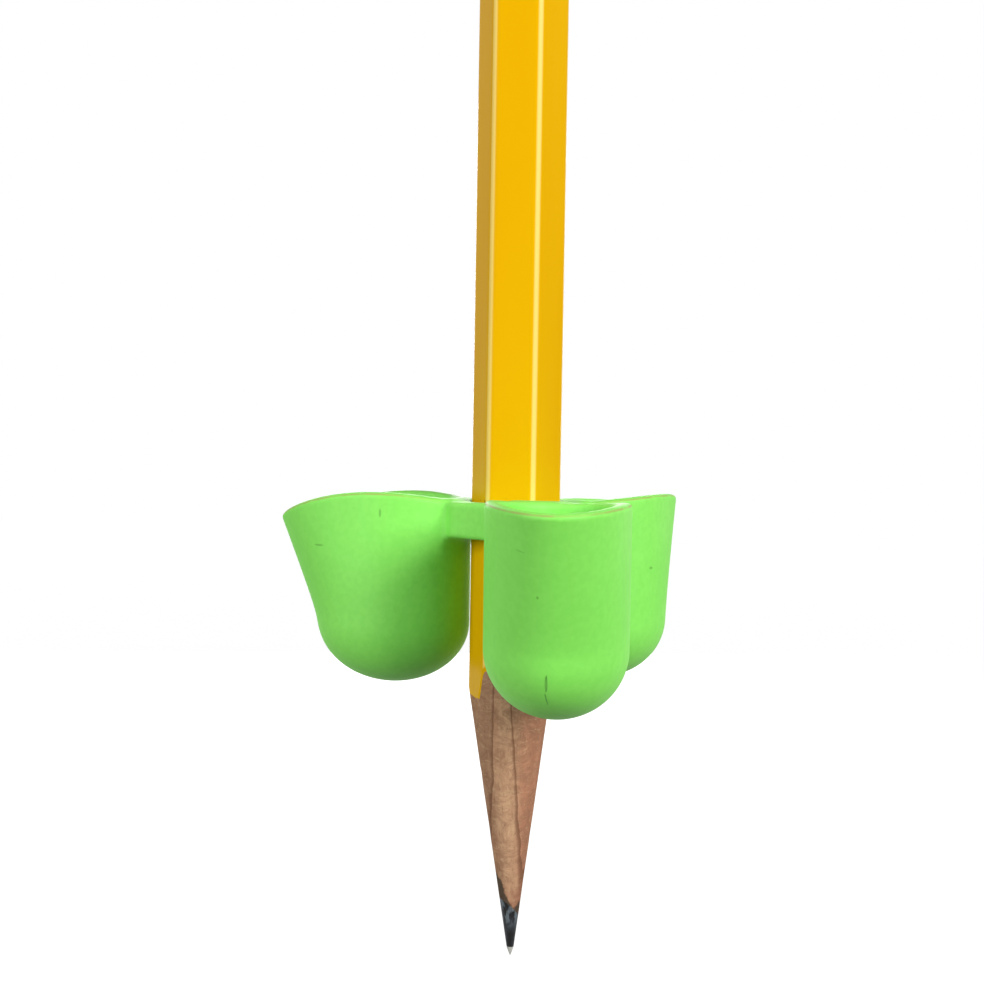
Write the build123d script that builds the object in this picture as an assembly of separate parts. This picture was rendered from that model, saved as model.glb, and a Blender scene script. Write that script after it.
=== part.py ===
from build123d import *
from math import cos, radians, tan
import os

# A soft three-cup pencil grip on a sharpened hexagonal pencil, in millimetres.
# The origin is on the pencil's axis at the middle of the grip's collar, and +Z runs up the
# pencil, away from its point. The middle finger's cup hangs on the -X side. The thumb's and
# the index finger's cups are a mirrored pair, one on either side of the XZ plane, but for the
# index finger's rim, which leans.
# The grip is one rubber moulding. It bends where each cup's neck meets the collar, so the
# collar and the three cups are separate bodies, each cup on a hinge along its neck.

# Clearances, and the overrun of every cutting tool
neck_gap = 0.08
slide_clearance = 0.05
cup_to_pencil_gap = 0.42
ferrule_fit = 0.02
cut_overrun = 2.0

# Pencil: a lacquered hexagon of two cedar slats glued round a graphite core
pencil_length = 120.0
across_flats = 7.0
hexagon_corner_round = 0.9
pencil_turn = 7.3
lacquer_thickness = 0.08
core_diameter = 1.7

# Point: the sharpener's cone leans a little from the pencil's axis, and its tip is worn
point_angle = 16.45
point_below_collar = 38.5
point_offset_x = 0.18
point_offset_y = 0.03
point_lean_angle = 1.2
point_lean_turn_angle = 160.0
worn_tip_length = 0.7
worn_tip_diameter = 0.1
worn_shoulder_diameter = 0.62

# Ferrule and eraser
ferrule_length = 13.0
ferrule_inner_diameter = 6.3
ferrule_wall = 0.35
ferrule_bead_radius = 0.25
ferrule_bead_shares = (0.10, 0.20, 0.30, 0.70, 0.80, 0.90)
wood_in_ferrule = 6.5
eraser_length = 12.0
eraser_head_diameter = 6.6
eraser_seat_round = 0.1
eraser_edge_round = 0.7

# Collar: a round bore, a flat for each cup and a flat web between each two cups
collar_height = 3.1
cup_flat_offset = 5.2
web_flat_offset = 5.8
collar_corner_reach = 6.2
collar_edge_round = 0.35

# Cups: a half-ellipsoid bowl that opens upwards, and outwards along a straight flank
pair_spread_angle = 57.3
pair_twist_angle = 20.7
bowl_half_length = 6.93
bowl_half_width = 5.7
bowl_half_height = 5.42
bowl_drop = 9.45
flank_angle = 24.0
cup_wall = 1.2
lip_round = 0.4
neck_wall = 0.8
pair_rim_crown_radius = 86.0
pair_rim_peak_offset = 13.3
pair_rim_peak_height = 2.0
index_rim_lean_angle = 4.0
middle_rim_crown_radius = 26.5
middle_rim_peak_offset = 11.1
middle_rim_peak_height = 2.28

# Worked out from the sizes above
hexagon_corner = (across_flats / 2 - hexagon_corner_round) / cos(radians(30)) + hexagon_corner_round
collar_bore_radius = hexagon_corner + slide_clearance
cup_hub_face = hexagon_corner + cup_to_pencil_gap
bowl_offset = cup_hub_face + bowl_half_length
neck_face = cup_flat_offset + neck_gap
flank_slope = tan(radians(flank_angle))
point_slope = tan(radians(point_angle / 2))
point_z = -point_below_collar
pencil_top = point_z + pencil_length
ferrule_top = pencil_top - eraser_length + (ferrule_length - wood_in_ferrule)
ferrule_bottom = ferrule_top - ferrule_length
wood_top = ferrule_bottom + wood_in_ferrule
middle_rim = (middle_rim_crown_radius, middle_rim_peak_offset, middle_rim_peak_height)
pair_rim = (pair_rim_crown_radius, pair_rim_peak_offset, pair_rim_peak_height)
# Each cup's azimuth, its twist, its rim's lean to its left and its rim
cup_places = (
    ("middle_finger_cup", 180.0, 0.0, 0.0, middle_rim),
    ("thumb_cup", -pair_spread_angle, -pair_twist_angle, 0.0, pair_rim),
    ("index_finger_cup", pair_spread_angle, pair_twist_angle, -index_rim_lean_angle, pair_rim),
)


def between(low, high, shape):
    """Extrudes a flat shape from one height to another."""
    return Pos(0, 0, low) * extrude(shape, high - low)


# Cups

def cup_form(hub_face, outer_face, half_width, half_height):
    """A filled cup, with its bowl between two faces and its top well above the rim."""
    centre = (hub_face + outer_face) / 2
    half_length = (outer_face - hub_face) / 2
    top = middle_rim_peak_height + cut_overrun
    mouth_reach = half_length + flank_slope * (top + bowl_drop)
    seam = Pos(centre, 0, -bowl_drop) * egg(half_length, half_length, half_width)
    mouth = Pos(centre, 0, top) * egg(half_length, mouth_reach, half_width)
    ball = scale(Sphere(1), by=(half_length, half_width, half_height))
    bowl = split(Pos(centre, 0, -bowl_drop) * ball, Plane.XY.offset(-bowl_drop), keep=Keep.BOTTOM)
    return bowl + loft([seam, mouth], ruled=True)


def egg(hub_half, outer_half, half_width):
    """An oval of two half-ellipses that share their widest line."""
    hub_side = EllipticalCenterArc((0, 0), hub_half, half_width, start_angle=90, arc_size=180)
    outer_side = EllipticalCenterArc((0, 0), outer_half, half_width, start_angle=-90, arc_size=180)
    return make_face(hub_side + outer_side)


def above_rim(lean, crown_radius, peak_offset, peak_height):
    """What is cut away above the rim's long arc, which rises to the cup's left by its lean."""
    reach = 2 * (bowl_offset + bowl_half_length)
    height = bowl_drop + peak_height + 2 * cut_overrun
    block = Box(reach, reach, height, align=(Align.MIN, Align.CENTER, Align.MIN))
    crown = Pos(0, 0, -crown_radius) * Rot(90, 0, 0) * Cylinder(crown_radius, reach)
    return Pos(0, 0, -bowl_drop) * block - Pos(peak_offset, 0, peak_height) * Rot(lean, 0, 0) * crown


def finger_cup(azimuth, twist, lean, rim):
    """A cup turned by twist about its own upright axis, at azimuth round the pencil."""
    outer_face = bowl_offset + bowl_half_length
    shell = cup_form(cup_hub_face, outer_face, bowl_half_width, bowl_half_height)
    hollow = cup_form(
        neck_face + neck_wall,
        outer_face - cup_wall,
        bowl_half_width - cup_wall,
        bowl_half_height - cup_wall,
    )
    cup = shell - hollow - above_rim(lean, *rim)
    lip = cup.faces().filter_by(GeomType.CYLINDER)[0]
    cup = fillet(lip.edges(), lip_round)
    cup = Pos(bowl_offset, 0, 0) * Rot(0, 0, twist) * Pos(-bowl_offset, 0, 0) * cup
    seat_floor = -collar_height / 2 - neck_gap
    seat_height = middle_rim_peak_height + cut_overrun - seat_floor
    seat = Pos(neck_face, 0, seat_floor) * Box(
        neck_face, 2 * bowl_offset, seat_height, align=(Align.MAX, Align.CENTER, Align.MIN)
    )
    return Rot(0, 0, azimuth) * (cup - seat)


# Collar

def collar():
    plan = Circle(collar_corner_reach)
    azimuths = sorted(azimuth % 360 for _, azimuth, *_ in cup_places)
    flats = [(azimuth, cup_flat_offset) for azimuth in azimuths]
    for here, after in zip(azimuths, azimuths[1:] + [azimuths[0] + 360]):
        flats.append(((here + after) / 2, web_flat_offset))
    beyond = Rectangle(collar_corner_reach, 2 * collar_corner_reach, align=(Align.MIN, Align.CENTER))
    for azimuth, offset in flats:
        plan -= Rot(0, 0, azimuth) * Pos(offset, 0) * beyond
    ring = between(-collar_height / 2, collar_height / 2, plan)
    lower_edges = ring.faces().sort_by(Axis.Z)[0].edges()
    ring = fillet(lower_edges, collar_edge_round)
    return ring - Cylinder(collar_bore_radius, collar_height + cut_overrun)


# Pencil

def hexagon(inset):
    """The pencil's section, drawn in by inset all round."""
    outline = RegularPolygon(across_flats / 2 - inset, 6, major_radius=False)
    return Rot(0, 0, pencil_turn) * fillet(outline.vertices(), hexagon_corner_round - inset)


def rising_cone(low_radius, high_radius, height):
    return Cone(low_radius, high_radius, height, align=(Align.CENTER, Align.CENTER, Align.MIN))


def sharpened(shape):
    """Cuts a length of pencil to the sharpener's cone, with the worn tip below it."""
    shoulder_radius = worn_shoulder_diameter / 2
    worn_tip = rising_cone(worn_tip_diameter / 2, shoulder_radius, worn_tip_length)
    cut = rising_cone(shoulder_radius, shoulder_radius + pencil_length * point_slope, pencil_length)
    point = worn_tip + Pos(0, 0, worn_tip_length) * cut
    lean = Rot(0, 0, point_lean_turn_angle) * Rot(0, point_lean_angle, 0)
    return shape & (Pos(point_offset_x, point_offset_y, point_z) * lean * point)


def lacquer_coat():
    return sharpened(between(point_z, ferrule_bottom, hexagon(0) - hexagon(lacquer_thickness)))


def cedar():
    """Both slats as one length: hexagonal up to the ferrule, turned round inside it."""
    length = between(point_z, ferrule_bottom, hexagon(lacquer_thickness))
    length += between(ferrule_bottom, wood_top, Circle(ferrule_inner_diameter / 2 - ferrule_fit))
    length -= between(point_z, wood_top, Circle(core_diameter / 2))
    return sharpened(length)


def cedar_slat(side):
    """One slat: the glue line runs across two opposite corners of the hexagon."""
    half = Rectangle(pencil_length, pencil_length, align=(Align.CENTER, side))
    return cedar() & between(point_z, wood_top, Rot(0, 0, pencil_turn) * half)


def graphite_core():
    return sharpened(between(point_z, wood_top, Circle(core_diameter / 2)))


# Ferrule and eraser

def ferrule():
    outer_radius = ferrule_inner_diameter / 2 + ferrule_wall
    tube = between(ferrule_bottom, ferrule_top, Circle(outer_radius))
    for share in ferrule_bead_shares:
        tube += Pos(0, 0, ferrule_bottom + share * ferrule_length) * Torus(outer_radius, ferrule_bead_radius)
    return tube - between(ferrule_bottom, ferrule_top, Circle(ferrule_inner_diameter / 2))


def eraser():
    """The stem is squeezed in the ferrule, and the head swells out over its mouth."""
    stem = between(pencil_top - eraser_length, ferrule_top, Circle(ferrule_inner_diameter / 2 - ferrule_fit))
    head = between(ferrule_top, pencil_top, Circle(eraser_head_diameter / 2))
    head = fillet(head.edges().sort_by(Axis.Z)[0], eraser_seat_round)
    head = fillet(head.edges().sort_by(Axis.Z)[-1], eraser_edge_round)
    return stem + head


nodes = {
    "grip_collar": collar(),
    "lacquer_coat": lacquer_coat(),
    "cedar_slat_left": cedar_slat(Align.MIN),
    "cedar_slat_right": cedar_slat(Align.MAX),
    "graphite_core": graphite_core(),
    "ferrule": ferrule(),
    "eraser": eraser(),
}
for name, *place in cup_places:
    nodes[name] = finger_cup(*place)

os.makedirs("parts", exist_ok=True)
for name, shape in nodes.items():
    export_step(shape, f"parts/{name}.step")
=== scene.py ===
import bpy
import math
import numpy as np
from mathutils import Matrix, Vector


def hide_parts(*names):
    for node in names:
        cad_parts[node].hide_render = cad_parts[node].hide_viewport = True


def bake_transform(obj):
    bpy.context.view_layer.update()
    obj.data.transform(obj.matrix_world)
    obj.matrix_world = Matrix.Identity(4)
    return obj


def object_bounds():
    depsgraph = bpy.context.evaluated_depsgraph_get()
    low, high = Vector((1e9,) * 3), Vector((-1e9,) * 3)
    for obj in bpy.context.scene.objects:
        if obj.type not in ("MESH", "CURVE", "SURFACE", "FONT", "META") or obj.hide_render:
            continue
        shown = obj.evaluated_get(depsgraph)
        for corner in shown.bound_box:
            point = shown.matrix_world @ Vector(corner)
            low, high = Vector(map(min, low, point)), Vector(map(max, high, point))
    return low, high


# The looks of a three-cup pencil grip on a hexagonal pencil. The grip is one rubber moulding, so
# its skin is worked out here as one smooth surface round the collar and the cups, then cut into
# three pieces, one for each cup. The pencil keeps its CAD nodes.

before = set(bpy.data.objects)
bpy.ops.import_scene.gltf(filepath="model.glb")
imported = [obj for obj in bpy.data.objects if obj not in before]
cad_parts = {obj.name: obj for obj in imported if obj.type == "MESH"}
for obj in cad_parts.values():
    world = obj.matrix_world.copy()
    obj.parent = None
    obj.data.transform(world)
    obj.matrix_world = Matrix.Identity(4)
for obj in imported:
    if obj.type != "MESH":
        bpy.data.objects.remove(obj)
cad_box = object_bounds()
MM = 0.001

# Camera, from the photograph: a pencil 7 mm across its flats is 11.4 pixels a millimetre
PHOTO_PIXELS = 984
PIXELS_PER_MM = 11.4
CAMERA_AZIMUTH = 16.7
CAMERA_ELEVATION = 1.2
CAMERA_ROLL = 0.947
CAMERA_DISTANCE = 96.0
EYE_HEIGHT = 2.44
PENCIL_PIXELS_RIGHT = 23.87
SENSOR_WIDTH = 36.0
CLIP_START = 5.0
CLIP_END = 20000.0

# Grip, in millimetres, as the CAD model has it
COLLAR_HALF_HEIGHT = 1.55
CUP_FLAT_OFFSET = 5.2
WEB_FLAT_OFFSET = 5.8
BORE_RADIUS = 3.953
CUP_HUB_FACE = 4.323
NECK_WALL_FACE = 6.08
BOWL_HALF_LENGTH = 6.93
BOWL_HALF_WIDTH = 5.7
BOWL_HALF_HEIGHT = 5.42
BOWL_DROP = 9.45
FLANK_ANGLE = 24.0
CUP_WALL = 1.2
PAIR_SPREAD = 57.3
PAIR_TWIST = 20.7
# A rim's crown radius, and its peak's offset and height
MIDDLE_RIM = (26.5, 11.1, 2.28)
PAIR_RIM = (86.0, 13.3, 2.0)
INDEX_RIM_LEAN = 4.0
# Each cup's azimuth, its twist, its rim's lean to its left and its rim
CUPS = {
    "middle_finger_cup": (180.0, 0.0, 0.0, MIDDLE_RIM),
    "thumb_cup": (-PAIR_SPREAD, -PAIR_TWIST, 0.0, PAIR_RIM),
    "index_finger_cup": (PAIR_SPREAD, PAIR_TWIST, -INDEX_RIM_LEAN, PAIR_RIM),
}
BOWL_OFFSET = CUP_HUB_FACE + BOWL_HALF_LENGTH
FLANK_SLOPE = math.tan(math.radians(FLANK_ANGLE))

# How far down the pencil slides
PENCIL_DROP = 60.0

# Roundings of the moulding, as blend widths
LIP_ROUND = 0.5
COLLAR_EDGE_ROUND = 0.5
COLLAR_CORNER_ROUND = 0.8
NECK_FILLET = 1.0
SEAM_ROUND = 1.2

# The moulding's mesh: its step, the space that it fills, and how its net is drawn onto the surface
MESH_STEP = 0.26
GRIP_REACH = 26.0
GRIP_TOP = 2.3
GRID_MARGIN = 1.0
CROWN_REACH_SHARE = 0.9
SLOPE_REACH = 0.02
LEAST_STEEPNESS = 0.05
NET_SMOOTHING = (0.5, 0.5, 0.5, 0, 0)

# Marks on the rubber: each one's place, its half sizes and its turn
SCUFFS = (
    ((-10.46, -5.7, 0.5), (0.14, 0.5, 0.5), (0, 0, 0)),
    ((-16.55, -4.86, -2.5), (0.7, 0.5, 0.12), (0, 0, 0)),
    ((6.8, -18.6, -4.54), (0.14, 0.6, 0.16), (0, 0, 0)),
    ((5.5, -19.9, -1.2), (0.9, 0.9, 0.1), (0, 0.25, 0)),
    ((11.04, 6.44, -4.3), (0.2, 0.5, 0.16), (0, 0, 0)),
)
# The slits are dented by a bump, and their dark colour is painted shade in the groove
SLITS = (
    ((6.95, -16.1, -11.05), (0.1, 1.2, 0.75), (0, 0.1, 0)),
    ((6.8, -15.35, -12.3), (0.05, 1.0, 0.6), (0, -0.05, 0)),
)

# Where the finishes lie. Each is a soft edge, from its start to its end, in millimetres: heights
# are from the collar's middle, radii from the pencil's axis, and sides across the photograph's view.
# The moulding's flash line is measured down from the rim and in from the outside.
FLASH_TOP = (0.08, 0.16)
FLASH_FOOT = (0.2, 0.3)
FLASH_DEPTH = (0.25, 0.45)
FLASH_RADIUS = (6.5, 8.5)
COLLAR_CRUMB_RADIUS = (4.3, 4.7)
COLLAR_CRUMB_HEIGHT = (1.2, 1.4)
# Where the painted highlight along the lacquer's corners begins, by radius from the axis
CORNER_HIGHLIGHT_RADIUS = (3.865, 3.9)
PENCIL_CRUMB_FOOT = (1.5, 1.55)
PENCIL_CRUMB_TOP = (1.6, 2.1)
TORN_HEIGHT = (-15.13, -15.03)
CEDAR_LEFT_SIDE = (-2.1, -1.4)
CEDAR_RIGHT_SIDE = (0.2, 1.2)
CEDAR_LOW_END = (-34.0, -31.0)
SMEAR_SIDE = (-1.15, 0.4)
SMEAR_HEIGHT = (-34.15, -33.75)
GRAPHITE_HIGHLIGHT_HEIGHT = (-36.2, -34.9)
TIP_GLINT_HEIGHT = (-37.78, -37.63)
DUST_HEIGHT = (-33.65, -33.5)
DUST_SIDE = (0.25, 0.4)
# How far these edges rise and fall, in millimetres, and how the dust's rises across the view
TORN_RAGGEDNESS = 0.7
SMEAR_RISE = 2.75
SMEAR_RAGGEDNESS = 0.5
DUST_RAGGEDNESS = 0.9
DUST_SLOPE = 0.35
# The same soft edges as shares, of a mark from its rim to its middle and of a year ring
SCUFF_EDGE = (0.0, 0.6)
SLIT_EDGE = (0.0, 0.35)
EARLY_WOOD_END = (0.0, 0.35)
LATE_WOOD_START = (0.84, 0.97)
LATE_WOOD_END = (0.985, 1.0)

# The grain's year rings fan out from a line outside each slat. Its two numbers are millimetres
# from the pencil's axis, across the photograph's view and along it.
NEAR_FAN = (-1.64, -5.97)
FAR_FAN = (1.1, 7.4)
RING_STEP = 0.55
RING_WANDER = 0.07

# Stretches of noise, as its density along each axis. The last of the three runs along the pencil.
EVEN = (1, 1, 1)
LACQUER_CLOUD = (1, 1, 0.2)
LACQUER_RIPPLE = (1, 1, 0.15)
TORN_EDGE = (1, 1, 0.6)
LONG_GRAIN = (1, 1, 0.07)
HALF_GRAIN = (1, 1, 0.5)
PORE = (1, 1, 0.4)
CURL = (1, 1, 1.3)
CHATTER = (0.8, 0.8, 1.9)
GRAPHITE_CLOUD = (1, 1, 0.3)
GRAPHITE_HIGHLIGHT_STRETCH = (1, 1, 0.35)
BRUSHED_ROUND = (0.2, 0.2, 3)

# Colours as the eye sees them: red, green and blue from 0 to 255
RUBBER_GREEN = (132, 226, 88)
RUBBER_PALE = (140, 232, 96)
RUBBER_DEEP = (113, 212, 72)
FLASH_TAN = (160, 150, 84)
SCUFF_GREEN = (74, 150, 40)
SLIT_SHADE_GREEN = (52, 116, 30)
COLLAR_CRUMB_BROWN = (66, 82, 30)
LACQUER_YELLOW = (222, 166, 2)
LACQUER_PALE = (229, 176, 5)
SPECK_BROWN = (150, 105, 20)
CORNER_HIGHLIGHT_PALE = (252, 226, 130)
PENCIL_CRUMB_BROWN = (84, 72, 22)
CEDAR_PALE = (206, 166, 130)
CEDAR_STREAK = (176, 136, 104)
CEDAR_EARLY = (176, 128, 98)
CEDAR_LATE = (108, 70, 48)
CEDAR_LEFT = (132, 96, 74)
CEDAR_RIGHT = (170, 100, 76)
CEDAR_LOW = (150, 98, 76)
CEDAR_CURL = (148, 108, 82)
CEDAR_CHATTER = (200, 170, 130)
CEDAR_PORE = (112, 78, 58)
SMEAR_GREY = (48, 48, 40)
GRAPHITE_DARK = (14, 14, 14)
GRAPHITE_PALE = (44, 47, 52)
GRAPHITE_HIGHLIGHT_GREY = (104, 114, 120)
TIP_GLINT_GREY = (190, 190, 182)
ALUMINIUM_DULL = (150, 152, 156)
ALUMINIUM_BRIGHT = (196, 198, 201)
ERASER_PINK = (226, 140, 130)
ERASER_PALE = (236, 156, 146)
FLOOR_GREY = (84, 84, 84)

# Floor and light. A lamp has its azimuth to the right of the camera's, its elevation, its size in
# metres and its power in watts.
FLOOR_HALF = 1.5
FLOOR_GLOW = 0.92
WORLD_STRENGTH = 0.05
SEEN_RAYS = ("Is Camera Ray", "Is Glossy Ray", "Is Transmission Ray")
LAMP_DISTANCE = 0.5
LAMP_AIM_HEIGHT = -5.0
LAMPS = {
    "key_light": (42, 24, 0.2, 2.75),
    "fill_light": (-52, 18, 0.3, 1.75),
    "back_light": (184, 6, 0.3, 2.4),
}
WHITE = (1, 1, 1, 1)


# Camera

def make_camera():
    azimuth = math.radians(CAMERA_AZIMUTH)
    elevation = math.radians(CAMERA_ELEVATION)
    roll = math.radians(CAMERA_ROLL)
    level_right = Vector((math.cos(azimuth), math.sin(azimuth), 0))
    away = Vector((-math.sin(azimuth), math.cos(azimuth), 0))
    level_up = away * math.sin(elevation) + Vector((0, 0, math.cos(elevation)))
    forward = away * math.cos(elevation) - Vector((0, 0, math.sin(elevation)))
    right = level_right * math.cos(roll) + level_up * math.sin(roll)
    up = level_up * math.cos(roll) - level_right * math.sin(roll)
    aim = Vector((0, 0, EYE_HEIGHT)) - right * PENCIL_PIXELS_RIGHT / PIXELS_PER_MM
    place = (aim - forward * CAMERA_DISTANCE) * MM
    data = bpy.data.cameras.new("camera")
    data.sensor_width = SENSOR_WIDTH
    data.lens = PIXELS_PER_MM * CAMERA_DISTANCE * SENSOR_WIDTH / PHOTO_PIXELS
    data.clip_start = CLIP_START * MM
    data.clip_end = CLIP_END * MM
    camera = bpy.data.objects.new("camera", data)
    turn = Matrix((right, up, -forward)).transposed().to_4x4()
    camera.matrix_world = Matrix.Translation(place) @ turn
    bpy.context.scene.collection.objects.link(camera)
    bpy.context.scene.camera = camera


# The grip's surface, as a field that is negative inside the rubber, in millimetres

def smooth_max(a, b, width):
    share = np.clip(0.5 + 0.5 * (a - b) / width, 0, 1)
    return b + (a - b) * share + width * share * (1 - share)


def smooth_min(a, b, width):
    return -smooth_max(-a, -b, width)


def cup_field(x, y, z, hub_face, outer_face, half_width, half_height):
    """A filled cup: half an ellipsoid, and above its seam a wall whose outer flank leans out."""
    centre = (hub_face + outer_face) / 2
    half_length = (outer_face - hub_face) / 2
    height = z + BOWL_DROP
    drop = np.maximum(-height, 0)
    lean = FLANK_SLOPE * (height + np.hypot(height, SEAM_ROUND)) / 2
    along = x - centre
    along = np.where(along > 0, along / (half_length + lean), along / half_length)
    reach = np.sqrt(along ** 2 + (y / half_width) ** 2 + (drop / half_height) ** 2)
    return (reach - 1) * half_width


def in_cup(points, azimuth, twist):
    """Points in a cup's own frame: x the way that it faces, from the pencil's axis."""
    a = math.radians(azimuth)
    t = math.radians(twist)
    x = points[..., 0] * math.cos(a) + points[..., 1] * math.sin(a) - BOWL_OFFSET
    y = points[..., 1] * math.cos(a) - points[..., 0] * math.sin(a)
    turned_x = x * math.cos(t) + y * math.sin(t) + BOWL_OFFSET
    turned_y = y * math.cos(t) - x * math.sin(t)
    return turned_x, turned_y, points[..., 2]


def below_rim(x, y, z, lean, rim):
    """How far a point of a cup lies below the rim's long arc."""
    crown_radius, peak_offset, peak_height = rim
    reach = CROWN_REACH_SHARE * crown_radius
    across = np.clip(x - peak_offset, -reach, reach)
    peak = peak_height + math.tan(math.radians(lean)) * y
    return peak - crown_radius + np.sqrt(crown_radius ** 2 - across ** 2) - z


def cup_outside(x, y, z):
    outer_face = BOWL_OFFSET + BOWL_HALF_LENGTH
    return cup_field(x, y, z, CUP_HUB_FACE, outer_face, BOWL_HALF_WIDTH, BOWL_HALF_HEIGHT)


def cup_hollow(x, y, z):
    outer_face = BOWL_OFFSET + BOWL_HALF_LENGTH - CUP_WALL
    half_width = BOWL_HALF_WIDTH - CUP_WALL
    half_height = BOWL_HALF_HEIGHT - CUP_WALL
    return cup_field(x, y, z, NECK_WALL_FACE, outer_face, half_width, half_height)


def cup_shell(points, azimuth, twist, lean, rim):
    place = in_cup(points, azimuth, twist)
    wall = np.maximum(cup_outside(*place), -cup_hollow(*place))
    return smooth_max(wall, -below_rim(*place, lean, rim), LIP_ROUND)


def collar_field(points):
    x, y, z = points[..., 0], points[..., 1], points[..., 2]
    azimuths = sorted(azimuth % 360 for azimuth, *_ in CUPS.values())
    flats = [(azimuth, CUP_FLAT_OFFSET) for azimuth in azimuths]
    for here, after in zip(azimuths, azimuths[1:] + [azimuths[0] + 360]):
        flats.append(((here + after) / 2, WEB_FLAT_OFFSET))
    plan = np.full(x.shape, -BORE_RADIUS)
    for azimuth, offset in flats:
        a = math.radians(azimuth)
        plan = smooth_max(plan, x * math.cos(a) + y * math.sin(a) - offset, COLLAR_CORNER_ROUND)
    return smooth_max(plan, np.abs(z) - COLLAR_HALF_HEIGHT, COLLAR_EDGE_ROUND)


def grip_field(points):
    field = collar_field(points)
    for place in CUPS.values():
        field = smooth_min(field, cup_shell(points, *place), NECK_FILLET)
    bore = BORE_RADIUS - np.hypot(points[..., 0], points[..., 1])
    return np.maximum(field, bore)


# Its mesh: a net of quads through the field's zero, then drawn onto it

def surface_net(field, low, step):
    """One vertex in each grid cell that the zero crosses, and a quad round each crossed grid edge."""
    cells = np.array(field.shape) - 1
    total = np.zeros((*cells, 3))
    hits = np.zeros(cells)
    crossings = []
    for axis in range(3):
        first = np.take(field, range(cells[axis]), axis)
        second = np.take(field, range(1, cells[axis] + 1), axis)
        edges = np.argwhere((first < 0) != (second < 0))
        edges = edges[np.all((edges > 0) & (edges < cells), axis=1)]
        a = first[tuple(edges.T)]
        b = second[tuple(edges.T)]
        spots = edges.astype(float)
        spots[:, axis] += a / (a - b)
        u, v = np.eye(3, dtype=int)[[(axis + 1) % 3, (axis + 2) % 3]]
        around = [edges - u - v, edges - v, edges, edges - u]
        for cell in around:
            np.add.at(total, tuple(cell.T), spots)
            np.add.at(hits, tuple(cell.T), 1)
        crossings.append((around, a < 0))
    index = np.full(cells, -1)
    used = hits > 0
    index[used] = np.arange(used.sum())
    points = np.array(low) + step * total[used] / hits[used][:, None]
    quads = []
    for around, starts_inside in crossings:
        ring = np.stack([index[tuple(cell.T)] for cell in around], axis=1)
        quads.append(np.where(starts_inside[:, None], ring, ring[:, ::-1]))
    return points, np.concatenate(quads)


def slope_of(points, field):
    steps = np.eye(3) * SLOPE_REACH
    sides = [(field(points + s) - field(points - s)) / (2 * SLOPE_REACH) for s in steps]
    return np.stack(sides, axis=1)


def draw_onto(points, quads, field):
    """Evens out the net and moves it onto the field's zero."""
    sides = np.concatenate([quads[:, [i, (i + 1) % 4]] for i in range(4)])
    for smoothing in NET_SMOOTHING:
        if smoothing:
            total = np.zeros_like(points)
            count = np.zeros(len(points))
            np.add.at(total, sides[:, 0], points[sides[:, 1]])
            np.add.at(count, sides[:, 0], 1)
            points = points + smoothing * (total / count[:, None] - points)
        slope = slope_of(points, field)
        steepness = np.maximum((slope ** 2).sum(1), LEAST_STEEPNESS)
        points = points - (field(points) / steepness)[:, None] * slope
    return points


def grip_mesh():
    low = np.array((-GRIP_REACH, -GRIP_REACH, -BOWL_DROP - BOWL_HALF_HEIGHT - GRID_MARGIN))
    high = np.array((GRIP_REACH, GRIP_REACH, GRIP_TOP + GRID_MARGIN))
    axes = [np.arange(a, b, MESH_STEP) for a, b in zip(low, high)]
    grid = np.stack(np.meshgrid(*axes, indexing="ij"), axis=-1)
    points, quads = surface_net(grip_field(grid), low, MESH_STEP)
    points = draw_onto(points, quads, grip_field)
    slope = slope_of(points, grip_field)
    return points, quads, slope / np.linalg.norm(slope, axis=1)[:, None]


def nearest_cup(points):
    """The number of the cup whose azimuth is nearest to each point."""
    azimuths = np.radians([azimuth for azimuth, *_ in CUPS.values()])
    angle = np.arctan2(points[:, 1], points[:, 0])
    return np.argmin(-np.cos(angle[:, None] - azimuths), axis=1)


def make_grip_piece(name, points, quads, normals, azimuth, twist, lean, rim):
    kept, quads = np.unique(quads, return_inverse=True)
    quads = quads.reshape(-1, 4)
    points = points[kept]
    mesh = bpy.data.meshes.new(name)
    mesh.from_pydata((points * MM).tolist(), [], quads.tolist())
    mesh.polygons.foreach_set("use_smooth", np.ones(len(quads), bool))
    place = in_cup(points, azimuth, twist)
    measures = {"below_rim": below_rim(*place, lean, rim), "inward": -cup_outside(*place)}
    for label, values in measures.items():
        attribute = mesh.attributes.new(label, "FLOAT", "POINT")
        attribute.data.foreach_set("value", values.astype(np.float32))
    mesh.normals_split_custom_set_from_vertices(normals[kept].tolist())
    piece = bpy.data.objects.new(name, mesh)
    bpy.context.scene.collection.objects.link(piece)
    return piece


# Nodes that the finishes are made of

def new_material(name):
    material = bpy.data.materials.new(name)
    material.use_nodes = True
    tree = material.node_tree
    return material, tree, tree.nodes["Principled BSDF"]


def set_or_link(tree, socket, value):
    if isinstance(value, bpy.types.NodeSocket):
        tree.links.new(value, socket)
    else:
        socket.default_value = value


def add(tree, kind, inputs=None, **settings):
    node = tree.nodes.new(kind)
    for key, value in settings.items():
        setattr(node, key, value)
    for key, value in (inputs or {}).items():
        set_or_link(tree, node.inputs[key], value)
    return node


def finish(tree, shader, inputs):
    for key, value in inputs.items():
        set_or_link(tree, shader.inputs[key], value)


def paint(colour):
    """A colour from 0 to 255 as the linear values that Blender takes, by the sRGB curve."""
    shares = [v / 255 for v in colour]
    return [v / 12.92 if v <= 0.04045 else ((v + 0.055) / 1.055) ** 2.4 for v in shares] + [1.0]


def mix(tree, share, first, second):
    """Goes from the first colour to the second. A colour is a socket, or values from 0 to 255."""
    node = add(tree, "ShaderNodeMix", {0: share}, data_type="RGBA")
    for key, colour in ((6, first), (7, second)):
        set_or_link(tree, node.inputs[key], paint(colour) if isinstance(colour, tuple) else colour)
    return node.outputs[2]


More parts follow.
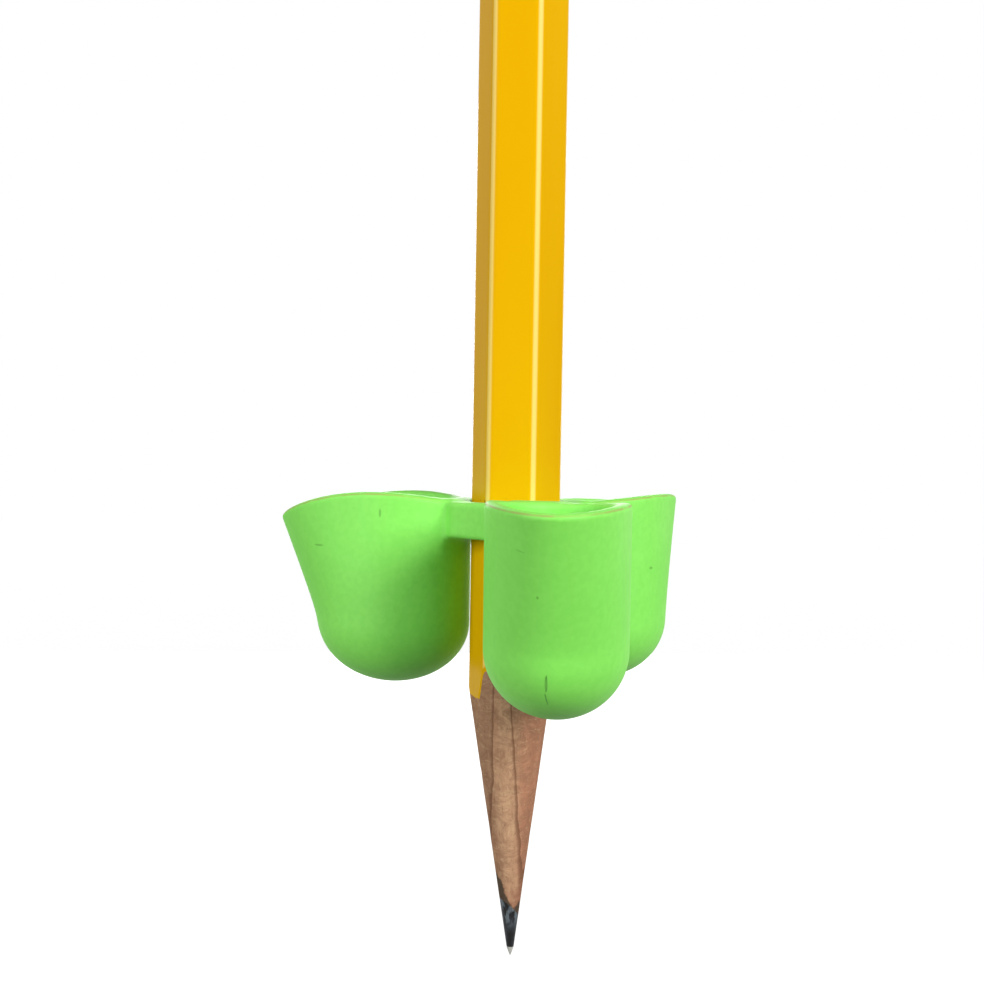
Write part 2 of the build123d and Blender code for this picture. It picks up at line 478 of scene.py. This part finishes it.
def calculate(tree, operation, *values):
    return add(tree, "ShaderNodeMath", dict(enumerate(values)), operation=operation).outputs[0]


def product(tree, a, b):
    return calculate(tree, "MULTIPLY", a, b)


def sum_of(tree, a, b):
    return calculate(tree, "ADD", a, b)


def largest(tree, values):
    total = values[0]
    for value in values[1:]:
        total = calculate(tree, "MAXIMUM", total, value)
    return total


def band(tree, value, low, high, at_low=0.0, at_high=1.0):
    """A smooth step from at_low to at_high as value goes from low to high."""
    inputs = {0: value, 1: low, 2: high, 3: at_low, 4: at_high}
    return add(tree, "ShaderNodeMapRange", inputs, interpolation_type="SMOOTHSTEP").outputs[0]


def above(tree, value, edge, most=1.0):
    """Nothing before a soft edge, and most after it."""
    return band(tree, value, *edge, 0.0, most)


def below(tree, value, edge, most=1.0):
    """Most before a soft edge, and nothing after it."""
    return band(tree, value, *edge, most, 0.0)


def object_noise(tree, scale, detail=2.0, stretch=EVEN, roughness=0.5, swirl=0.0):
    place = add(tree, "ShaderNodeTexCoord").outputs["Object"]
    place = add(tree, "ShaderNodeMapping", {"Vector": place, "Scale": stretch}).outputs[0]
    inputs = {"Vector": place, "Scale": scale, "Detail": detail, "Roughness": roughness, "Distortion": swirl}
    return add(tree, "ShaderNodeTexNoise", inputs).outputs[0]


def patches(tree, scale, detail, low, high, least=0.0, most=1.0, stretch=EVEN, roughness=0.5, swirl=0.0):
    """Soft patches, from least to most, where a noise goes from low to high."""
    noise = object_noise(tree, scale, detail, stretch, roughness, swirl)
    return band(tree, noise, low, high, least, most)


def mark(tree, place, size, turn):
    """A soft spot, 1 in its middle and 0 outside an egg of this size in millimetres."""
    spot = add(tree, "ShaderNodeTexCoord").outputs["Object"]
    place = [v * MM for v in place]
    size = [v * MM for v in size]
    inputs = {"Vector": spot, "Location": place, "Rotation": turn, "Scale": size}
    spot = add(tree, "ShaderNodeMapping", inputs, vector_type="TEXTURE").outputs[0]
    return add(tree, "ShaderNodeTexGradient", {"Vector": spot}, gradient_type="SPHERICAL").outputs[1]


def object_place(tree):
    """Place in the object, in millimetres."""
    place = add(tree, "ShaderNodeTexCoord").outputs["Object"]
    return add(tree, "ShaderNodeVectorMath", {0: place, "Scale": 1 / MM}, operation="SCALE").outputs[0]


def object_height(tree):
    return add(tree, "ShaderNodeSeparateXYZ", {0: object_place(tree)}).outputs[2]


def object_radius(tree):
    """Distance from the pencil's axis, in millimetres."""
    flat = {0: object_place(tree), 1: (1, 1, 0)}
    flat = add(tree, "ShaderNodeVectorMath", flat, operation="MULTIPLY").outputs[0]
    return add(tree, "ShaderNodeVectorMath", {0: flat}, operation="LENGTH").outputs["Value"]


def object_side(tree):
    """Place across the pencil, in depth and in height, in millimetres, by the photograph's azimuth."""
    turn = {"Vector": object_place(tree), "Rotation": (0, 0, -math.radians(CAMERA_AZIMUTH))}
    place = add(tree, "ShaderNodeMapping", turn).outputs[0]
    return add(tree, "ShaderNodeSeparateXYZ", {0: place}).outputs


def bump(tree, height, strength, depth, **more):
    """A bump of this depth in millimetres."""
    inputs = {"Strength": strength, "Distance": depth * MM, "Height": height}
    return add(tree, "ShaderNodeBump", inputs, **more)


# Finishes

def flash_line(tree):
    """The moulding's parting line just under a cup's rim, broken here and there."""
    drop = add(tree, "ShaderNodeAttribute", attribute_name="below_rim").outputs["Fac"]
    inward = add(tree, "ShaderNodeAttribute", attribute_name="inward").outputs["Fac"]
    line = product(tree, above(tree, drop, FLASH_TOP), below(tree, drop, FLASH_FOOT))
    line = product(tree, line, below(tree, inward, FLASH_DEPTH))
    line = product(tree, line, above(tree, object_radius(tree), FLASH_RADIUS))
    breaks = patches(tree, scale=400, detail=2, low=0.4, high=0.55, least=0.3, most=0.7)
    return product(tree, line, breaks)


def collar_crumbs(tree):
    """Dirt on the collar, close round the pencil."""
    crumbs = below(tree, object_radius(tree), COLLAR_CRUMB_RADIUS)
    crumbs = product(tree, crumbs, above(tree, object_height(tree), COLLAR_CRUMB_HEIGHT))
    specks = patches(tree, scale=1900, detail=3, low=0.54, high=0.6, most=0.8, roughness=0.7)
    return product(tree, crumbs, specks)


def rubber():
    material, tree, shader = new_material("lime_rubber")
    clouds = patches(tree, scale=90, detail=3, low=0.35, high=0.65)
    colour = mix(tree, clouds, RUBBER_GREEN, RUBBER_PALE)
    mottle = patches(tree, scale=1800, detail=3, low=0.3, high=0.7, most=0.25)
    colour = mix(tree, mottle, colour, RUBBER_DEEP)
    colour = mix(tree, flash_line(tree), colour, FLASH_TAN)
    scuff = largest(tree, [above(tree, mark(tree, *spot), SCUFF_EDGE, most=0.55) for spot in SCUFFS])
    colour = mix(tree, scuff, colour, SCUFF_GREEN)
    # Painted shade: the slits are darkened where shade falls in their grooves, besides the bump that dents
    # them
    slit = largest(tree, [above(tree, mark(tree, *spot), SLIT_EDGE) for spot in SLITS])
    colour = mix(tree, product(tree, slit, 0.5), colour, SLIT_SHADE_GREEN)
    colour = mix(tree, collar_crumbs(tree), colour, COLLAR_CRUMB_BROWN)
    grain = object_noise(tree, scale=2600, detail=3, roughness=0.6)
    relief = bump(tree, grain, strength=0.12, depth=0.06)
    dent = bump(tree, slit, strength=1.0, depth=0.2, invert=True)
    tree.links.new(relief.outputs[0], dent.inputs["Normal"])
    finish(tree, shader, {
        "Base Color": colour,
        "Roughness": 0.6,
        "Specular IOR Level": 0.45,
        "Subsurface Weight": 0.08,
        "Subsurface Radius": (0.6, 1.0, 0.4),
        "Subsurface Scale": 0.8 * MM,
        "Normal": dent.outputs[0],
    })
    return material


def lacquer():
    """Yellow lacquer, with a painted highlight along the corners, and torn off short at the sharpened end.
    """
    material, tree, shader = new_material("yellow_lacquer")
    clouds = patches(tree, scale=60, detail=3, low=0.3, high=0.7, stretch=LACQUER_CLOUD)
    colour = mix(tree, clouds, LACQUER_YELLOW, LACQUER_PALE)
    specks = patches(tree, scale=900, detail=1, low=0.8, high=0.83, most=0.5)
    colour = mix(tree, specks, colour, SPECK_BROWN)
    # Painted highlight: pale yellow along the hexagon's rounded corners, standing in for the lamps' streaks
    # there
    colour = mix(tree, above(tree, object_radius(tree), CORNER_HIGHLIGHT_RADIUS, most=0.7), colour, CORNER_HIGHLIGHT_PALE)
    height = object_height(tree)
    crumbs = product(tree, below(tree, height, PENCIL_CRUMB_TOP), above(tree, height, PENCIL_CRUMB_FOOT))
    dirt = patches(tree, scale=1500, detail=3, low=0.56, high=0.62, most=0.7, roughness=0.7)
    colour = mix(tree, product(tree, crumbs, dirt), colour, PENCIL_CRUMB_BROWN)
    ragged = object_noise(tree, scale=900, detail=4, stretch=TORN_EDGE)
    torn = below(tree, sum_of(tree, height, product(tree, ragged, TORN_RAGGEDNESS)), TORN_HEIGHT)
    colour = mix(tree, torn, colour, cedar_colour(tree, NEAR_FAN)[0])
    ripple = object_noise(tree, scale=140, detail=2, stretch=LACQUER_RIPPLE)
    finish(tree, shader, {
        "Base Color": colour,
        "Roughness": band(tree, torn, 0.0, 1.0, at_low=0.24, at_high=0.85),
        "IOR": 1.2,
        "Specular IOR Level": 0.1,
        "Normal": bump(tree, ripple, strength=0.15, depth=0.2).outputs[0],
    })
    return material


def year_ring(tree, fan):
    """How far into its year ring a place lies, from 0 to 1."""
    across, depth, _ = object_side(tree)
    fan_across, fan_depth = fan
    rise = calculate(tree, "ABSOLUTE", sum_of(tree, depth, -fan_depth))
    ring = calculate(tree, "DIVIDE", sum_of(tree, across, -fan_across), rise)
    wander = patches(tree, scale=330, detail=4, low=0.0, high=1.0, least=-RING_WANDER,
                     most=RING_WANDER, stretch=HALF_GRAIN, roughness=0.6)
    return calculate(tree, "FRACT", product(tree, sum_of(tree, ring, wander), 1 / RING_STEP))


def cedar_colour(tree, fan):
    """Cedar's colour, with year rings that fan out, and its long streaks."""
    across, _, height = object_side(tree)
    ring = year_ring(tree, fan)
    streaks = object_noise(tree, scale=1400, detail=5, stretch=LONG_GRAIN, roughness=0.7)
    colour = mix(tree, band(tree, streaks, low=0.25, high=0.75), CEDAR_PALE, CEDAR_STREAK)
    colour = mix(tree, below(tree, ring, EARLY_WOOD_END, most=0.4), colour, CEDAR_EARLY)
    colour = mix(tree, below(tree, across, CEDAR_LEFT_SIDE, most=0.35), colour, CEDAR_LEFT)
    colour = mix(tree, above(tree, across, CEDAR_RIGHT_SIDE, most=0.55), colour, CEDAR_RIGHT)
    curl = patches(tree, scale=620, detail=5, low=0.36, high=0.62, most=0.7,
                   stretch=CURL, roughness=0.75, swirl=1.2)
    colour = mix(tree, curl, colour, CEDAR_CURL)
    chatter = patches(tree, scale=820, detail=5, low=0.52, high=0.68, most=0.55,
                      stretch=CHATTER, roughness=0.75, swirl=2.2)
    colour = mix(tree, chatter, colour, CEDAR_CHATTER)
    colour = mix(tree, below(tree, height, CEDAR_LOW_END, most=0.45), colour, CEDAR_LOW)
    late = product(tree, above(tree, ring, LATE_WOOD_START), below(tree, ring, LATE_WOOD_END, most=0.7))
    colour = mix(tree, late, colour, CEDAR_LATE)
    pores = patches(tree, scale=4200, detail=2, low=0.6, high=0.75, most=0.4, stretch=PORE)
    return mix(tree, pores, colour, CEDAR_PORE), streaks


def cedar(name, fan):
    """Bare cedar, smeared with graphite just above the point, most of all up its left side."""
    material, tree, shader = new_material(name)
    colour, streaks = cedar_colour(tree, fan)
    across, _, height = object_side(tree)
    ragged = patches(tree, scale=1300, detail=4, low=0.2, high=0.8, least=-SMEAR_RAGGEDNESS,
                     most=SMEAR_RAGGEDNESS, stretch=HALF_GRAIN)
    rise = sum_of(tree, below(tree, across, SMEAR_SIDE, most=SMEAR_RISE), ragged)
    smear = below(tree, sum_of(tree, height, product(tree, rise, -1.0)), SMEAR_HEIGHT, most=0.85)
    finish(tree, shader, {
        "Base Color": mix(tree, smear, colour, SMEAR_GREY),
        "Roughness": 0.85,
        "Specular IOR Level": 0.2,
        "Normal": bump(tree, streaks, strength=0.5, depth=0.08).outputs[0],
    })
    return material


def graphite():
    """Graphite, with painted grey highlights in patches, wood dust on its right and a painted glint at its
    tip.
    """
    material, tree, shader = new_material("graphite")
    across, _, height = object_side(tree)
    clouds = object_noise(tree, scale=1800, detail=4, stretch=GRAPHITE_CLOUD)
    colour = mix(tree, band(tree, clouds, low=0.35, high=0.65), GRAPHITE_DARK, GRAPHITE_PALE)
    # Painted highlight: blue-grey patches on the graphite above the tip, standing in for light off its shiny
    # surface
    highlight_patches = patches(tree, scale=2100, detail=3, low=0.46, high=0.6, stretch=GRAPHITE_HIGHLIGHT_STRETCH, roughness=0.6)
    highlight_patches = product(tree, highlight_patches, above(tree, height, GRAPHITE_HIGHLIGHT_HEIGHT, most=0.8))
    colour = mix(tree, highlight_patches, colour, GRAPHITE_HIGHLIGHT_GREY)
    # Painted highlight: the very tip is pale grey, standing in for a glint off the point
    colour = mix(tree, below(tree, height, TIP_GLINT_HEIGHT), colour, TIP_GLINT_GREY)
    ragged = product(tree, object_noise(tree, scale=1900, detail=3), DUST_RAGGEDNESS)
    dust = sum_of(tree, sum_of(tree, height, ragged), product(tree, across, DUST_SLOPE))
    dust = product(tree, above(tree, dust, DUST_HEIGHT), above(tree, across, DUST_SIDE))
    finish(tree, shader, {
        "Base Color": mix(tree, dust, colour, cedar_colour(tree, NEAR_FAN)[0]),
        "Roughness": 0.4,
        "Specular IOR Level": 0.2,
        "Normal": bump(tree, clouds, strength=0.4, depth=0.06).outputs[0],
    })
    return material


def aluminium():
    material, tree, shader = new_material("ferrule_aluminium")
    brushed = object_noise(tree, scale=700, detail=3, stretch=BRUSHED_ROUND)
    finish(tree, shader, {
        "Base Color": mix(tree, brushed, ALUMINIUM_DULL, ALUMINIUM_BRIGHT),
        "Metallic": 1.0,
        "Roughness": band(tree, brushed, low=0.3, high=0.7, at_low=0.22, at_high=0.34),
    })
    return material


def eraser_rubber():
    material, tree, shader = new_material("eraser_rubber")
    clouds = patches(tree, scale=500, detail=4, low=0.35, high=0.65)
    grain = object_noise(tree, scale=2400, detail=3)
    finish(tree, shader, {
        "Base Color": mix(tree, clouds, ERASER_PINK, ERASER_PALE),
        "Roughness": 0.9,
        "Normal": bump(tree, grain, strength=0.35, depth=0.08).outputs[0],
    })
    return material


def dress(node, material):
    """Gives a CAD node its finish."""
    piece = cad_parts[node]
    if not piece.material_slots:
        piece.data.materials.append(material)
    for slot in piece.material_slots:
        slot.material = material


# Floor, backdrop and light

def pale_floor():
    """A pale floor. The eye and reflections see it as white, with the object's shadow on it."""
    material, tree, shader = new_material("studio_floor")
    finish(tree, shader, {"Base Color": paint(FLOOR_GREY), "Roughness": 0.9})
    path = add(tree, "ShaderNodeLightPath")
    seen = largest(tree, [path.outputs[kind] for kind in SEEN_RAYS])
    glow = {"Color": WHITE, "Strength": product(tree, seen, FLOOR_GLOW)}
    glow = add(tree, "ShaderNodeEmission", glow)
    both = add(tree, "ShaderNodeAddShader", {0: shader.outputs[0], 1: glow.outputs[0]})
    tree.links.new(both.outputs[0], tree.nodes["Material Output"].inputs["Surface"])
    return material


def make_floor():
    """The floor lies as low as the point reaches when the pencil is slid down."""
    level = cad_box[0][2] - PENCIL_DROP * MM
    near, far = -FLOOR_HALF, FLOOR_HALF
    mesh = bpy.data.meshes.new("floor")
    corners = [(near, near, level), (far, near, level), (far, far, level), (near, far, level)]
    mesh.from_pydata(corners, [], [(0, 1, 2, 3)])
    floor = bpy.data.objects.new("floor", mesh)
    bpy.context.scene.collection.objects.link(floor)
    mesh.materials.append(pale_floor())


def make_world():
    """White to the eye and in reflections, and a faint light otherwise."""
    world = bpy.data.worlds.new("world")
    bpy.context.scene.world = world
    world.use_nodes = True
    tree = world.node_tree
    background = tree.nodes["Background"]
    finish(tree, background, {"Color": WHITE, "Strength": WORLD_STRENGTH})
    white = add(tree, "ShaderNodeBackground", {"Color": WHITE, "Strength": 1.0})
    path = add(tree, "ShaderNodeLightPath")
    seen = largest(tree, [path.outputs[kind] for kind in SEEN_RAYS])
    blend = {0: seen, 1: background.outputs[0], 2: white.outputs[0]}
    blend = add(tree, "ShaderNodeMixShader", blend)
    tree.links.new(blend.outputs[0], tree.nodes["World Output"].inputs["Surface"])


def area_light(name, azimuth, elevation, size, power):
    """A square lamp that looks at the grip. Azimuth is turned from the camera's, to the right."""
    turn = math.radians(CAMERA_AZIMUTH + azimuth)
    rise = math.radians(elevation)
    level = Vector((math.sin(turn), -math.cos(turn), 0))
    away = level * math.cos(rise) + Vector((0, 0, math.sin(rise)))
    data = bpy.data.lights.new(name, "AREA")
    data.size = size
    data.energy = power
    lamp = bpy.data.objects.new(name, data)
    place = Vector((0, 0, LAMP_AIM_HEIGHT * MM)) + away * LAMP_DISTANCE
    facing = away.to_track_quat("Z", "Y").to_matrix().to_4x4()
    lamp.matrix_world = Matrix.Translation(place) @ facing
    bpy.context.scene.collection.objects.link(lamp)


make_camera()
green = rubber()
points, quads, normals = grip_mesh()
sector = nearest_cup(points[quads].mean(axis=1))
for number, (cup, place) in enumerate(CUPS.items()):
    piece = make_grip_piece(f"rubber_{cup}", points, quads[sector == number], normals, *place)
    piece.data.materials.append(green)
    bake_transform(piece)
    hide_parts(cup, "grip_collar")

dress("lacquer_coat", lacquer())
dress("cedar_slat_right", cedar("cedar_near", NEAR_FAN))
dress("cedar_slat_left", cedar("cedar_far", FAR_FAN))
dress("graphite_core", graphite())
dress("ferrule", aluminium())
dress("eraser", eraser_rubber())

make_floor()
make_world()
for name, lamp in LAMPS.items():
    area_light(name, *lamp)

bpy.context.scene.view_settings.view_transform = "Standard"
